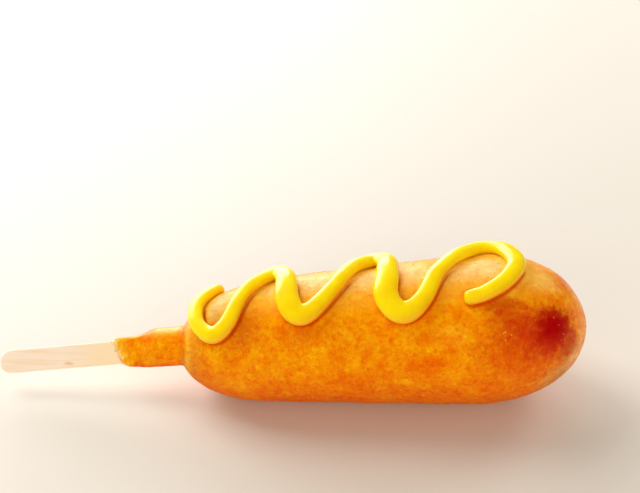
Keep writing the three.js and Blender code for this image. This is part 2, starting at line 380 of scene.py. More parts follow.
def axis_height(x):
    tip_bend = max(1 - (TIP_X - x) / TIP_DROOP_LENGTH, 0) ** 2
    rear = smooth(-x, 0, REAR_DROP_LENGTH)
    return taper(x) - PRESSED_FLAT - TIP_DROOP * tip_bend - REAR_DROP * rear


batter_stations = [
    (LIP_X + 2 * CLOSED_BEHIND, stick_height(LIP_X), 0, 0, 2),
    (
        LIP_X + CLOSED_BEHIND,
        stick_height(LIP_X),
        STICK_HALF_WIDTH - CLOSED_BEHIND,
        STICK_HALF_THICKNESS - CLOSED_BEHIND,
        COLLAR_SQUARENESS[0],
    ),
]
for i in range(COLLAR_STEPS):
    along = i / COLLAR_STEPS
    x = LIP_X + COLLAR_LENGTH * along
    bulge = smooth(along, *COLLAR_GROWTH)
    film = mix(FILM, COLLAR_LAYER, smooth(along, 0, FILM_SHARE))
    above, below = mix(film, COLLAR_ABOVE, bulge), mix(film, COLLAR_BELOW, along)
    layer = (above + below) / 2
    batter_stations.append(
        (
            x,
            stick_height(x) + (above - below) / 2,
            STICK_HALF_WIDTH + layer,
            STICK_HALF_THICKNESS + layer + COLLAR_CHEEKS * bulge,
            mix(*COLLAR_SQUARENESS, smooth(along, 0, COLLAR_ROUND_AT)),
        )
    )
body_xs = [mix(CREASE_X, SHOULDER_X, (i / SHOULDER_STEPS) ** 1.5) for i in range(SHOULDER_STEPS)]
body_xs += [mix(SHOULDER_X, TIP_START_X, i / BODY_STEPS) for i in range(BODY_STEPS)]
for i in range(TIP_STEPS + 1):
    body_xs.append(TIP_X - TIP_LENGTH * (1 - math.sin(math.pi / 2 * i / TIP_STEPS)))
for x in body_xs:
    batter_stations.append((x, axis_height(x), body_radius(x), body_radius(x), 2))
line = line_of_stations("batter_line", batter_stations)
smooth_batter = shaped(
    line, "smooth_batter", swept, {"Around": BATTER_SIDES, "Lean": STICK_LEAN}
)
bpy.data.objects.remove(line)

# The tree that gives the smooth body the surface of a fried crust: a ragged lip where it ran out
# on the stick, slow swells, ripples, a fine grain, and small pits where bubbles of steam broke.
# The underside lies flat on the table.
crusted, given = shape_tree(
    "fried crust",
    {
        "Lip Ragged": 0.0,
        "Lip Ragged Size": 1.0,
        "Lip Slant": 0.0,
        "Lip Back": 0.0,
        "Swell": 0.0,
        "Swell Size": 1.0,
        "Ripple": 0.0,
        "Ripple Size": 1.0,
        "Grain": 0.0,
        "Grain Size": 1.0,
        "Pit": 0.0,
        "Pit Size": 1.0,
        "Material": None,
    },
)
where = add(crusted, "GeometryNodeInputPosition")
across = add(crusted, "ShaderNodeSeparateXYZ", {}, {"Vector": where})
outwards = add(crusted, "GeometryNodeInputNormal")
body = add(
    crusted,
    "GeometryNodeStoreNamedAttribute",
    {"data_type": "FLOAT_VECTOR", "domain": "POINT"},
    {"Geometry": given["Geometry"], "Name": "outward", "Value": outwards},
)
# the collar and the body meet in a soft crease
blurred = add(
    crusted,
    "GeometryNodeBlurAttribute",
    {"data_type": "FLOAT_VECTOR"},
    {"Value": where, "Iterations": 3},
)
along = across.outputs["X"]
from_crease = add(
    crusted, "ShaderNodeMath", {"operation": "SUBTRACT"}, {0: along, 1: CREASE_X * MM}
)
from_crease = add(crusted, "ShaderNodeMath", {"operation": "ABSOLUTE"}, {0: from_crease})
at_crease = add(
    crusted, "ShaderNodeMath", {"operation": "LESS_THAN"}, {0: from_crease, 1: CREASE_SOFT * MM}
)
body = add(
    crusted,
    "GeometryNodeSetPosition",
    {},
    {"Geometry": body, "Selection": at_crease, "Position": blurred},
)
# the lip is ragged, and reaches further out along the stick's upper edge
from_lip = add(crusted, "ShaderNodeMath", {"operation": "SUBTRACT"}, {0: along, 1: LIP_X * MM})
body = add(
    crusted,
    "GeometryNodeStoreNamedAttribute",
    {"domain": "POINT"},
    {"Geometry": body, "Name": "from_lip", "Value": from_lip},
)
often = add(
    crusted, "ShaderNodeMath", {"operation": "DIVIDE"}, {0: 1 / MM, 1: given["Lip Ragged Size"]}
)
ragged = add(crusted, "ShaderNodeTexNoise", {}, {"Vector": where, "Scale": often, "Detail": 2.0})
ragged = add(crusted, "ShaderNodeMath", {"operation": "SUBTRACT"}, {0: ragged, 1: 0.5})
ragged = add(
    crusted,
    "ShaderNodeMath",
    {"operation": "MULTIPLY_ADD"},
    {0: ragged, 1: given["Lip Ragged"], 2: given["Lip Back"]},
)
upward = add(
    crusted,
    "ShaderNodeMath",
    {"operation": "MULTIPLY_ADD"},
    {0: across.outputs["Z"], 1: 1 / MM, 2: -stick_height(LIP_X)},
)
slant = add(
    crusted, "ShaderNodeMath", {"operation": "MULTIPLY"}, {0: upward, 1: given["Lip Slant"]}
)
shift = add(crusted, "ShaderNodeMath", {"operation": "SUBTRACT"}, {0: ragged, 1: slant})
near_lip = add(
    crusted,
    "ShaderNodeMapRange",
    SOFT_STEP,
    {
        "Value": from_lip,
        "From Min": RAGGED_FROM_LIP[0] * MM,
        "From Max": RAGGED_FROM_LIP[1] * MM,
        "To Max": MM,
    },
)
shift = add(crusted, "ShaderNodeMath", {"operation": "MULTIPLY"}, {0: shift, 1: near_lip})
shift = add(
    crusted,
    "ShaderNodeVectorMath",
    {"operation": "SCALE"},
    {0: (1.0, 0.0, STICK_SLOPE), "Scale": shift},
)
body = add(crusted, "GeometryNodeSetPosition", {}, {"Geometry": body, "Offset": shift})
heights = []
for key in ("Swell", "Ripple", "Grain"):
    often = add(
        crusted, "ShaderNodeMath", {"operation": "DIVIDE"}, {0: 1 / MM, 1: given[key + " Size"]}
    )
    lumps = add(
        crusted, "ShaderNodeTexNoise", {}, {"Vector": where, "Scale": often, "Detail": 1.0}
    )
    lumps = add(crusted, "ShaderNodeMath", {"operation": "SUBTRACT"}, {0: lumps, 1: 0.5})
    heights.append(
        add(crusted, "ShaderNodeMath", {"operation": "MULTIPLY"}, {0: lumps, 1: given[key]})
    )
often = add(crusted, "ShaderNodeMath", {"operation": "DIVIDE"}, {0: 1 / MM, 1: given["Pit Size"]})
bubbles = add(crusted, "ShaderNodeTexVoronoi", {}, {"Vector": where, "Scale": often})
dish = add(
    crusted,
    "ShaderNodeMapRange",
    SOFT_STEP,
    {"Value": bubbles, "From Min": PIT_FLOOR, "From Max": PIT_RIM, "To Min": -1, "To Max": 0},
)
chance = add(crusted, "ShaderNodeSeparateXYZ", {}, {"Vector": bubbles.outputs["Color"]})
chosen = add(
    crusted, "ShaderNodeMath", {"operation": "GREATER_THAN"}, {0: chance, 1: 1 - PITTED}
)
dish = add(crusted, "ShaderNodeMath", {"operation": "MULTIPLY"}, {0: dish, 1: chosen})
height = add(crusted, "ShaderNodeMath", {"operation": "MULTIPLY"}, {0: dish, 1: given["Pit"]})
for more in heights:
    height = add(crusted, "ShaderNodeMath", {"operation": "ADD"}, {0: height, 1: more})
calm = add(
    crusted,
    "ShaderNodeMapRange",
    SOFT_STEP,
    {
        "Value": along,
        "From Min": (LIP_X + RELIEF_FROM_LIP[0]) * MM,
        "From Max": (LIP_X + RELIEF_FROM_LIP[1]) * MM,
        "To Max": MM,
    },
)
height = add(crusted, "ShaderNodeMath", {"operation": "MULTIPLY"}, {0: height, 1: calm})
relief = add(
    crusted, "ShaderNodeVectorMath", {"operation": "SCALE"}, {0: outwards, "Scale": height}
)
body = add(crusted, "GeometryNodeSetPosition", {}, {"Geometry": body, "Offset": relief})
above = add(crusted, "ShaderNodeMath", {"operation": "MAXIMUM"}, {0: across.outputs["Z"], 1: 0.0})
flat = add(
    crusted,
    "ShaderNodeCombineXYZ",
    {},
    {"X": along, "Y": across.outputs["Y"], "Z": above},
)
body = add(crusted, "GeometryNodeSetPosition", {}, {"Geometry": body, "Position": flat})
body = add(
    crusted, "GeometryNodeSetMaterial", {}, {"Geometry": body, "Material": given["Material"]}
)
add(crusted, "NodeGroupOutput", {}, {"Geometry": body})

# Cornmeal batter, deep fried: a matt crust with a thin film of oil, golden and mottled, and red
# brown where it touched the hot side of the fryer. Painted light lies on it: a paler top as a
# painted sheen, and deeper orange below, partly painted shade.
batter, nodes = bare_material("fried_cornmeal_batter")
where = add(nodes, "ShaderNodeTexCoord").outputs["Object"]
outward = add(nodes, "ShaderNodeAttribute", {"attribute_name": "outward"}).outputs["Vector"]
facing = add(nodes, "ShaderNodeSeparateXYZ", {}, {"Vector": outward})
colour = linear("#ee9206")
# each: the noise's size in mm, its detail, where it starts and is full, how much, and its colour
MOTTLES = (
    (26, 2, 0.40, 0.68, 0.5, "#e87600"),
    (8, 2, 0.46, 0.72, 0.6, "#e66600"),
    (7, 2, 0.46, 0.72, 0.6, "#f6aa06"),
)
for number, (size, detail, start, full, most, tint) in enumerate(MOTTLES):
    shifted = add(nodes, "ShaderNodeVectorMath", {}, {0: where, 1: (0.3 * number, 0.0, 0.0)})
    cloud = add(
        nodes,
        "ShaderNodeTexNoise",
        {},
        {"Vector": shifted, "Scale": 1 / (size * MM), "Detail": detail},
    )
    colour = tinted(nodes, colour, tint, cloud, start, full, most)
# the top is paler in two steps, partly its own colour and mostly a painted sheen where the back
# light glances; the lower side is deeper orange, partly its own colour and partly painted shade; and
# the back is a shade browner as painted shade. each: an axis, how far the crust faces along it where
# the tint starts and is full, how much, and the colour
PAINTED_LIGHT_BY_SIDE = (
    ("Z", 0.82, 0.98, 0.5, "#fcc43c"),
    ("Z", 0.95, 1.01, 0.58, "#fbd494"),
    ("Z", 0.3, -0.7, 0.62, "#e25a02"),
    ("Y", 0.35, 1.0, 0.5, "#c86408"),
)
for axis, start, full, most, tint in PAINTED_LIGHT_BY_SIDE:
    colour = tinted(nodes, colour, tint, facing.outputs[axis], start, full, most)
# places that browned, most of all the spot at the tip with its weaker tail; with them, painted shade
# beside the mustard, and a painted highlight and painted reflection that make the tip paler. each:
# its middle and half sizes in mm, how much, and the colour
DARK_SPOT = (76.4, -13.6, 34.0)
BROWNED_AND_PAINTED_LIGHT = (
    # painted shade beside the mustard's first and second strokes
    ((-13.0, -10.5, 29.5), (9.0, 8.0, 8.0), 0.6, "#cf5c0c"),
    ((3.0, -14.0, 31.0), (11.0, 6.0, 5.0), 0.5, "#dc6408"),
    ((67.0, -18.5, 29.0), (22.0, 15.0, 18.0), 0.85, "#d85a06"),
    # at the tip's lower right a tan patch, partly browning and partly painted reflection of the
    # table, then its pale rim, a painted reflection
    ((80.0, -15.5, 16.0), (12.0, 10.0, 9.5), 0.85, "#cc8c44"),
    ((86.0, -8.0, 18.0), (6.5, 15.0, 14.0), 0.72, "#eeae68"),
    # painted highlight: a pale patch on the tip's upper side
    ((73.0, -2.0, 41.5), (9.0, 7.0, 6.0), 0.4, "#f9c066"),
    ((-22.6, -2.0, 30.5), (6.0, 8.0, 7.0), 0.9, "#c8a03c"),
    ((9.0, -18.6, 20.0), (12.0, 6.0, 8.0), 0.4, "#e87000"),
    ((18.0, -19.6, 18.0), (9.0, 4.0, 4.0), 0.4, "#e05400"),
    ((-1.0, -18.6, 16.0), (7.0, 4.0, 4.0), 0.35, "#e05400"),
    ((-28.6, -7.0, 22.0), (6.0, 11.0, 12.0), 0.5, "#dc9c14"),
    ((46.0, -18.2, 33.2), (7.0, 5.0, 5.0), 0.5, "#f6a818"),
    ((80.5, -13.8, 27.0), (6.5, 7.0, 8.0), 0.8, "#b4480c"),
    ((-45.5, -4.0, 11.0), (3.0, 3.0, 2.6), 0.5, "#e46400"),
    ((-37.5, -5.0, 13.0), (4.0, 3.0, 3.0), 0.5, "#e46a00"),
    # painted shade below the mustard's last loop
    ((60.0, -12.4, 40.6), (8.0, 3.4, 3.4), 0.7, "#c84408"),
    ((71.0, -16.0, 33.5), (17.5, 12.0, 10.2), 0.85, "#cc3a0a"),
    ((62.5, -15.5, 37.0), (9.0, 7.0, 6.5), 0.5, "#c63606"),
    ((75.4, -15.0, 32.0), (12.8, 11.0, 9.8), 0.9, "#b61a08"),
    (DARK_SPOT, (8.5, 7.0, 7.0), 1.0, "#a40206"),
    # painted reflection: a pale patch at the tip's lower rim
    ((82.5, -12.5, 20.0), (4.0, 5.0, 6.0), 0.55, "#e8b478"),
)
RAGGED_SIZE = 2.2  # in mm, of the noise that makes their edges ragged
RAGGED_DEPTH = 0.8  # how ragged, in half sizes of the place
EDGE = (1.4, 0.6)  # where they start and are full, in half sizes with that added
ragged = add(
    nodes, "ShaderNodeTexNoise", {}, {"Vector": where, "Scale": 1 / (RAGGED_SIZE * MM), "Detail": 4}
)
for middle, half_sizes, most, tint in BROWNED_AND_PAINTED_LIGHT:
    off = from_spot(nodes, where, middle, half_sizes)
    off = add(
        nodes, "ShaderNodeMath", {"operation": "MULTIPLY_ADD"}, {0: ragged, 1: RAGGED_DEPTH, 2: off}
    )
    colour = tinted(nodes, colour, tint, off, *EDGE, most)
# painted shade makes the crease at the collar's root deeper orange, and a painted highlight makes
# the body's edge beside it, which faces the light, paler. each: how far beyond the crease it is and
# how far it reaches, in mm, how much, and the colour
CREASE_PAINTED_SHADE_AND_HIGHLIGHT = ((-0.6, 1.6, 0.5, "#e07c0a"), (1.6, 1.6, 0.6, "#f0b41c"))
beyond = add(nodes, "ShaderNodeSeparateXYZ", {}, {"Vector": where}).outputs["X"]
beyond = add(
    nodes, "ShaderNodeMath", {"operation": "MULTIPLY_ADD"}, {0: beyond, 1: 1 / MM, 2: -CREASE_X}
)
for middle, reach, most, tint in CREASE_PAINTED_SHADE_AND_HIGHLIGHT:
    off = add(nodes, "ShaderNodeMath", {"operation": "SUBTRACT"}, {0: beyond, 1: middle})
    off = add(nodes, "ShaderNodeMath", {"operation": "ABSOLUTE"}, {0: off})
    colour = tinted(nodes, colour, tint, off, reach, 0.0, most)
# on top a yellow strip is painted all along the mustard: partly a stain from it, and partly painted
# light that fills in the bead's cast shadow
PAINTED_FILL_REACH = 3.2  # mm from the bead
from_mustard = add(nodes, "ShaderNodeAttribute", {"attribute_name": "from_mustard"}).outputs["Fac"]
on_top = add(
    nodes,
    "ShaderNodeMapRange",
    SOFT_STEP,
    {"Value": facing.outputs["Y"], "From Min": -0.45, "From Max": -0.1},
)
colour = tinted(nodes, colour, "#ffd03c", from_mustard, PAINTED_FILL_REACH * MM, 0.0, 0.75, on_top)
# and a painted shadow, dark red brown, lies along the mustard's lower edge on the front, on the side
# away from the light
soaked = add(nodes, "ShaderNodeAttribute", {"attribute_name": "soaked"}).outputs["Fac"]
in_front = add(
    nodes,
    "ShaderNodeMapRange",
    SOFT_STEP,
    {"Value": facing.outputs["Y"], "From Min": 0.05, "From Max": -0.14},
)
soaked = add(nodes, "ShaderNodeMath", {"operation": "MULTIPLY"}, {0: soaked, 1: in_front})
colour = add(
    nodes,
    "ShaderNodeMix",
    {"data_type": "RGBA"},
    {"Factor": soaked, "A": colour, "B": linear("#c43400")},
)
# the thin edge on the stick took little colour, ragged and in two steps. each: how far from the
# lip it starts and is full, in mm, and the colour
LIP_TINTS = ((4.8, 1.6, "#f3b022"), (1.8, -0.4, "#f6d894"))
LIP_TINTS_RAGGED = 2.4  # mm
from_lip = add(nodes, "ShaderNodeAttribute", {"attribute_name": "from_lip"}).outputs["Fac"]
edge = add(
    nodes,
    "ShaderNodeMath",
    {"operation": "MULTIPLY_ADD"},
    {0: ragged, 1: -LIP_TINTS_RAGGED * MM, 2: from_lip},
)
for start, full, tint in LIP_TINTS:
    colour = tinted(nodes, colour, tint, edge, start * MM, full * MM)
# specks, finer than the mottling: the noise's size in mm, where it starts and is full, and what
# it multiplies the red, green and blue by
SPECKS = (
    (2.8, 0.46, 0.72, (0.97, 0.72, 0.5)),
    (2.4, 0.46, 0.72, (1.02, 1.24, 1.5)),
    (1.2, 0.48, 0.74, (0.93, 0.72, 0.6)),
    (1.2, 0.48, 0.74, (1.04, 1.26, 1.6)),
    (0.6, 0.50, 0.74, (0.92, 0.79, 0.76)),
    (0.6, 0.54, 0.74, (1.04, 1.19, 1.6)),
)
# they show less through the oil on top
through_oil = add(
    nodes,
    "ShaderNodeMapRange",
    SOFT_STEP,
    {
        "Value": facing.outputs["Z"],
        "From Min": 0.7,
        "From Max": 0.95,
        "To Min": 1.0,
        "To Max": 0.45,
    },
)
for number, (size, start, full, times) in enumerate(SPECKS):
    shifted = add(nodes, "ShaderNodeVectorMath", {}, {0: where, 1: (0.0, 0.3 * (number + 1), 0.0)})
    cloud = add(
        nodes, "ShaderNodeTexNoise", {}, {"Vector": shifted, "Scale": 1 / (size * MM), "Detail": 1}
    )
    cloud = add(
        nodes,
        "ShaderNodeMapRange",
        SOFT_STEP,
        {"Value": cloud, "From Min": start, "From Max": full},
    )
    cloud = add(nodes, "ShaderNodeMath", {"operation": "MULTIPLY"}, {0: cloud, 1: through_oil})
    colour = add(
        nodes,
        "ShaderNodeMix",
        {"data_type": "RGBA", "blend_type": "MULTIPLY"},
        {"Factor": cloud, "A": colour, "B": (*times, 1)},
    )
# the film of oil drained off the lower side
dry = add(
    nodes,
    "ShaderNodeMapRange",
    {},
    {
        "Value": facing.outputs["Z"],
        "From Min": 0.5,
        "From Max": -0.5,
        "To Min": 0.3,
        "To Max": 0.65,
    },
)
# roughness that is finer than the mesh. each: its size and depth in mm
ROUGHNESS = ((1.3, 0.10), (0.5, 0.10))
bump = None
for size, depth in ROUGHNESS:
    rough = add(
        nodes, "ShaderNodeTexNoise", {}, {"Vector": where, "Scale": 1 / (size * MM), "Detail": 2.0}
    )
    below = {"Normal": bump} if bump else {}
    bump = add(
        nodes,
        "ShaderNodeBump",
        {},
        {"Height": rough, "Strength": 0.6, "Distance": depth * MM, **below},
    )
surface = add(
    nodes,
    "ShaderNodeBsdfPrincipled",
    {},
    {
        "Base Color": colour,
        "Roughness": dry,
        "IOR": 1.4,
        "Specular IOR Level": 0.3,
        "Specular Tint": linear("#ff8c1e"),
        "Normal": bump,
    },
)
add(nodes, "ShaderNodeOutputMaterial", {}, {"Surface": surface})

crust = shaped(
    smooth_batter,
    "fried_crust",
    crusted,
    {
        "Lip Ragged": 3.6,
        "Lip Ragged Size": 2.2,
        "Lip Slant": 0.6,
        "Lip Back": 0.9,
        "Swell": 0.9,
        "Swell Size": 17.0,
        "Ripple": 0.35,
        "Ripple Size": 5.0,
        "Grain": 0.12,
        "Grain Size": 1.8,
        "Pit": 0.12,
        "Pit Size": 3.2,
        "Material": batter,
    },
)
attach(crust, "root")
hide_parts("batter_crust")

# ---------------------------------------------------------------- the cornmeal grit
# Coarse grains of cornmeal that stayed whole in the batter and lie half sunk in the crust, fried
# golden and here and there brown. They are 0.2 to 0.7 mm across.
gritted, given = shape_tree(
    "grit on a crust", {"Each m2": 1.0, "Least": 1.0, "Most": 1.0, "Seed": 0, "Material": None}
)
height = add(
    gritted, "ShaderNodeSeparateXYZ", {}, {"Vector": add(gritted, "GeometryNodeInputPosition")}
).outputs["Z"]
ABOVE_TABLE = 0.5  # mm, below which there are no grains
clear = add(
    gritted, "ShaderNodeMath", {"operation": "GREATER_THAN"}, {0: height, 1: ABOVE_TABLE * MM}
)
spots = add(
    gritted,
    "GeometryNodeDistributePointsOnFaces",
    {},
    {
        "Mesh": given["Geometry"],
        "Selection": clear,
        "Density": given["Each m2"],
        "Seed": given["Seed"],
    },
)
grain = add(gritted, "GeometryNodeMeshIcoSphere", {}, {"Radius": MM, "Subdivisions": 1})
size = add(
    gritted,
    "FunctionNodeRandomValue",
    {},
    {"Min": given["Least"], "Max": given["Most"], "Seed": given["Seed"]},
)
low = add(gritted, "ShaderNodeMath", {"operation": "MULTIPLY"}, {0: size, 1: 0.5})
shape = add(gritted, "ShaderNodeCombineXYZ", {}, {"X": size, "Y": size, "Z": low})
grains = add(
    gritted,
    "GeometryNodeInstanceOnPoints",
    {},
    {
        "Points": spots.outputs["Points"],
        "Instance": grain.outputs["Mesh"],
        "Rotation": spots.outputs["Rotation"],
        "Scale": shape,
    },
)
tone = add(gritted, "FunctionNodeRandomValue", {}, {"Seed": 5})
grains = add(
    gritted,
    "GeometryNodeStoreNamedAttribute",
    {"domain": "INSTANCE"},
    {"Geometry": grains, "Name": "tone", "Value": tone},
)
grains = add(gritted, "GeometryNodeRealizeInstances", {}, {"Geometry": grains})
grains = add(gritted, "GeometryNodeSetShadeSmooth", {}, {"Geometry": grains})
grains = add(
    gritted, "GeometryNodeSetMaterial", {}, {"Geometry": grains, "Material": given["Material"]}
)
add(gritted, "NodeGroupOutput", {}, {"Geometry": grains})

# Cornmeal, fried: matt and golden, and now and then a grain that browned.
cornmeal, nodes = bare_material("fried_cornmeal")
tone = add(nodes, "ShaderNodeAttribute", {"attribute_name": "tone"}).outputs["Fac"]
browned = add(
    nodes, "ShaderNodeMapRange", {}, {"Value": tone, "From Min": 0.45, "From Max": 1.0}
)
colour = add(
    nodes,
    "ShaderNodeMix",
    {"data_type": "RGBA"},
    {"Factor": browned, "A": linear("#eea028"), "B": linear("#e08418")},
)
# and those in the dark spot at the tip browned with it
GRIT_BROWNED = (14, 8)  # mm from its middle, where they start to brown and are brownest
where = add(nodes, "ShaderNodeTexCoord").outputs["Object"]
off = add(
    nodes,
    "ShaderNodeVectorMath",
    {"operation": "DISTANCE"},
    {0: where, 1: [c * MM for c in DARK_SPOT]},
)
start, full = [c * MM for c in GRIT_BROWNED]
colour = tinted(nodes, colour, "#c04a20", off, start, full, 0.8)
surface = add(
    nodes,
    "ShaderNodeBsdfPrincipled",
    {},
    {
        "Base Color": colour,
        "Roughness": 0.6,
        "IOR": 1.45,
        "Specular Tint": linear("#ff8c1e"),
    },
)
add(nodes, "ShaderNodeOutputMaterial", {}, {"Surface": surface})

grit = shaped(
    crust,
    "cornmeal_grit",
    gritted,
    {"Each m2": 60000.0, "Least": 0.1, "Most": 0.34, "Seed": 3, "Material": cornmeal},
)
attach(grit, "root")

# ---------------------------------------------------------------- the mustard
# Yellow mustard squeezed in a wavy line along the top while the bottle moved back and forth. The
# bead spread where the hand slowed, folds on itself at the tight turns and has blunt ends.
# Each turning point: x in mm, degrees from straight up towards the front, half width in mm.
ROUTE = (
    (-20.5, -50, 1.9), (-21.7, -43, 2.3), (-24.4, -30, 2.6), (-26.9, -5, 2.6), (-26.0, 27, 2.3),
    (-21.6, 42.5, 2.5), (-17.2, 31, 2.5), (-12.9, 2, 2.3), (-7.0, -17.5, 2.5), (-3.2, -25, 2.9),
    (-0.9, -8, 3.2), (-0.6, 14, 3.5), (1.0, 28.5, 3.5), (4.2, 33.5, 3.0), (8.4, 25.5, 2.7),
    (13.9, 6.5, 2.4), (19.0, -18, 2.6), (25.2, -31, 2.9), (28.6, -20, 3.2), (28.5, 3, 3.5),
    (27.9, 22, 3.7), (30.7, 35, 3.4), (34.6, 36, 3.1), (38.9, 25, 2.7), (43.3, 3, 2.5),
    (49.6, -18, 2.5), (56.8, -31.5, 2.7), (62.6, -24.5, 2.9), (65.4, -2, 2.8), (62.0, 16, 2.5),
    (55.8, 26.5, 2.3), (49.6, 29.3, 2.2),
)

TOWARD_LIGHT = (-0.62, 0.45, 0.64)  # the way from the bead towards the light; painted shade lies on the far side

# The tree that lays a bead along a line on the batter: it is a row of rings, and each of their
# points is lifted from the batter's nearest point, square to it. The rings are then fused into
# one body, which takes away the folds inside the tight turns.
squeezed, given = shape_tree(
    "bead squeezed on a surface",
    {
        "Surface": "object",
        "Rings": 100,
        "Around": 16,
        "Rise": 1.0,
        "Rise Share": 0.0,
        "Belly": 0.5,
        "Sink": 0.0,
        "Voxel": 1.0,
        "Softening": 1,
        "Regain": 0.0,
        "Material": None,
    },
)
below = add(
    squeezed,
    "GeometryNodeObjectInfo",
    {"transform_space": "RELATIVE"},
    {"Object": given["Surface"]},
).outputs["Geometry"]
route = add(squeezed, "GeometryNodeMeshToCurve", {}, {"Mesh": given["Geometry"]})
route = add(
    squeezed, "GeometryNodeCurveSplineType", {"spline_type": "CATMULL_ROM"}, {"Curve": route}
)
route = add(
    squeezed,
    "GeometryNodeResampleCurve",
    {"mode": "COUNT"},
    {"Curve": route, "Count": given["Rings"]},
)
sheet, ring, cosine, sine = ring_grid(squeezed, given["Rings"], given["Around"])
last = add(
    squeezed, "FunctionNodeIntegerMath", {"operation": "SUBTRACT"}, {0: given["Rings"], 1: 1}
)
share = add(squeezed, "ShaderNodeMath", {"operation": "DIVIDE"}, {0: ring, 1: last})
half_width = add(squeezed, "GeometryNodeInputNamedAttribute", {}, {"Name": "half_width"})
on_route = add(
    squeezed,
    "GeometryNodeSampleCurve",
    {"mode": "FACTOR", "use_all_curves": True},
    {"Curves": route, "Value": half_width, "Factor": share},
)
outward = add(
    squeezed,
    "GeometryNodeInputNamedAttribute",
    {"data_type": "FLOAT_VECTOR"},
    {"Name": "outward"},
)
middle_normal = add(
    squeezed,
    "GeometryNodeSampleNearestSurface",
    {"data_type": "FLOAT_VECTOR"},
    {"Mesh": below, "Value": outward, "Sample Position": on_route.outputs["Position"]},
)
sideways = add(
    squeezed,
    "ShaderNodeVectorMath",
    {"operation": "CROSS_PRODUCT"},
    {0: on_route.outputs["Tangent"], 1: middle_normal},
)
sideways = add(squeezed, "ShaderNodeVectorMath", {"operation": "NORMALIZE"}, {0: sideways})
# the ends round off over the last rings, each like a ball cut off a little before its pole
END_SHARE, END_CUT = 0.012, 0.7  # their share of the line, and the cut as a share of the radius
from_end = add(squeezed, "ShaderNodeMath", {"operation": "SUBTRACT"}, {0: 1.0, 1: share})
from_end = add(squeezed, "ShaderNodeMath", {"operation": "MINIMUM"}, {0: share, 1: from_end})
grown = add(
    squeezed,
    "ShaderNodeMapRange",
    {},
    {"Value": from_end, "From Max": END_SHARE, "To Min": END_CUT, "To Max": 0.0},
)
grown = add(squeezed, "ShaderNodeMath", {"operation": "POWER"}, {0: grown, 1: 2.0})
grown = add(squeezed, "ShaderNodeMath", {"operation": "SUBTRACT"}, {0: 1.0, 1: grown})
grown = add(squeezed, "ShaderNodeMath", {"operation": "SQRT"}, {0: grown})
inner = add(squeezed, "ShaderNodeMath", {"operation": "GREATER_THAN"}, {0: from_end, 1: 1e-4})
grown = add(squeezed, "ShaderNodeMath", {"operation": "MULTIPLY"}, {0: grown, 1: inner})
size = add(squeezed, "ShaderNodeMath", {"operation": "MULTIPLY"}, {0: grown, 1: on_route})
tall = add(
    squeezed,
    "ShaderNodeMath",
    {"operation": "MULTIPLY_ADD"},
    {0: on_route, 1: given["Rise Share"], 2: given["Rise"]},
)
tall = add(squeezed, "ShaderNodeMath", {"operation": "MULTIPLY"}, {0: grown, 1: tall})
aside = add(squeezed, "ShaderNodeMath", {"operation": "MULTIPLY"}, {0: size, 1: cosine})
aside = add(squeezed, "ShaderNodeMath", {"operation": "MULTIPLY"}, {0: aside, 1: MM})
near = add(squeezed, "ShaderNodeVectorMath", {"operation": "SCALE"}, {0: sideways, "Scale": aside})
near = add(
    squeezed,
    "ShaderNodeVectorMath",
    {"operation": "ADD"},
    {0: near, 1: on_route.outputs["Position"]},
)
foot = add(
    squeezed,
    "GeometryNodeProximity",
    {"target_element": "FACES"},
    {"Geometry": below, "Sample Position": near},
)
normal = add(
    squeezed,
    "GeometryNodeSampleNearestSurface",
    {"data_type": "FLOAT_VECTOR"},
    {"Mesh": below, "Value": outward, "Sample Position": near},
)
arch = add(
    squeezed,
    "ShaderNodeMapRange",
    {"clamp": False},
    {"Value": sine, "From Min": 0.0, "From Max": 1.0, "To Min": given["Belly"], "To Max": 1.0},
)
lift = add(squeezed, "ShaderNodeMath", {"operation": "MULTIPLY"}, {0: arch, 1: tall})
lowest = add(squeezed, "ShaderNodeMath", {"operation": "MULTIPLY"}, {0: given["Sink"], 1: -1.0})
lift = add(squeezed, "ShaderNodeMath", {"operation": "MAXIMUM"}, {0: lift, 1: lowest})
lift = add(squeezed, "ShaderNodeMath", {"operation": "MULTIPLY"}, {0: lift, 1: MM})
up = add(squeezed, "ShaderNodeVectorMath", {"operation": "SCALE"}, {0: normal, "Scale": lift})
place = add(squeezed, "ShaderNodeVectorMath", {"operation": "ADD"}, {0: foot, 1: up})
bead = add(squeezed, "GeometryNodeSetPosition", {}, {"Geometry": sheet, "Position": place})
bead = add(squeezed, "GeometryNodeMergeByDistance", {}, {"Geometry": bead, "Distance": 1e-6})
# fused at a thousand times its size, because a voxel has a least size
bead = add(
    squeezed, "GeometryNodeTransform", {}, {"Geometry": bead, "Scale": (1 / MM, 1 / MM, 1 / MM)}
)
bead = add(
    squeezed,
    "GeometryNodeMeshToVolume",
    {"resolution_mode": "VOXEL_SIZE"},
    {"Mesh": bead, "Voxel Size": given["Voxel"], "Interior Band Width": 1.5},
)
bead = add(squeezed, "GeometryNodeVolumeToMesh", {}, {"Volume": bead, "Threshold": 0.1})
bead = add(squeezed, "GeometryNodeTransform", {}, {"Geometry": bead, "Scale": (MM, MM, MM)})
softened = add(
    squeezed,
    "GeometryNodeBlurAttribute",
    {"data_type": "FLOAT_VECTOR"},
    {"Value": add(squeezed, "GeometryNodeInputPosition"), "Iterations": given["Softening"]},
)
bead = add(squeezed, "GeometryNodeSetPosition", {}, {"Geometry": bead, "Position": softened})
# and it gets back the thickness that the softening takes
regain = add(squeezed, "ShaderNodeMath", {"operation": "MULTIPLY"}, {0: given["Regain"], 1: MM})
fuller = add(
    squeezed,
    "ShaderNodeVectorMath",
    {"operation": "SCALE"},
    {0: add(squeezed, "GeometryNodeInputNormal"), "Scale": regain},
)
bead = add(squeezed, "GeometryNodeSetPosition", {}, {"Geometry": bead, "Offset": fuller})
